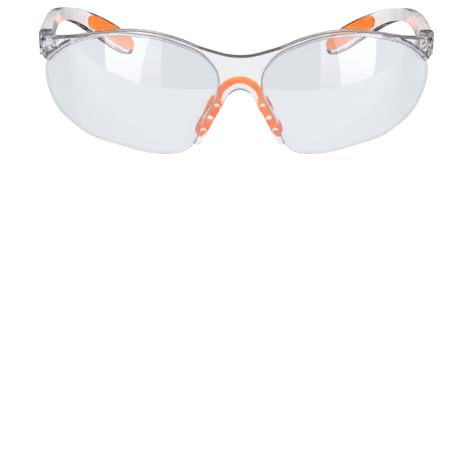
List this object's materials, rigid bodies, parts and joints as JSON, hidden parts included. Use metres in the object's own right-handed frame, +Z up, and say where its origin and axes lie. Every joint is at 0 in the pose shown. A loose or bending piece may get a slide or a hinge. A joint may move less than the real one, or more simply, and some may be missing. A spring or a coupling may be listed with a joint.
{
  "type": "safety glasses",
  "caption": "Clear wraparound safety glasses: half frame over curved lenses, soft orange nose saddle and ear pads, temples that fold on screw hinges.",
  "frame": {"origin": "on the table plane, centred between the two sides and between the front and the temple tips", "axes": "+Z up, -Y the way the wearer looks, +X to the wearer's left"},
  "size_m": [0.1484, 0.1592, 0.046],
  "materials": {
    "clear_frame": "clear moulded polycarbonate, glossy",
    "clear_lens": "clear polycarbonate with a hard coat, glossy",
    "clear_temple": "clear moulded polycarbonate, glossy",
    "soft_orange": "translucent soft orange elastomer, satin",
    "screw_steel": "small plated steel screw"
  },
  "bodies": {
    "front": {"front_frame": "clear_frame", "left_lens": "clear_lens", "right_lens": "clear_lens", "nose_saddle": "soft_orange", "left_hinge_screw": "screw_steel", "right_hinge_screw": "screw_steel"},
    "left_arm": {"left_temple": "clear_temple", "left_temple_pad": "soft_orange"},
    "right_arm": {"right_temple": "clear_temple", "right_temple_pad": "soft_orange"}
  },
  "joints": [
    {"name": "left_hinge", "type": "hinge", "parent": "front", "child": "left_arm", "pos_m": [0.0714, -0.0368, 0.0337], "axis": [0, 0, 1], "range_deg": [0, 84]},
    {"name": "right_hinge", "type": "hinge", "parent": "front", "child": "right_arm", "pos_m": [-0.0714, -0.0368, 0.0337], "axis": [0, 0, -1], "range_deg": [0, 76]}
  ]
}
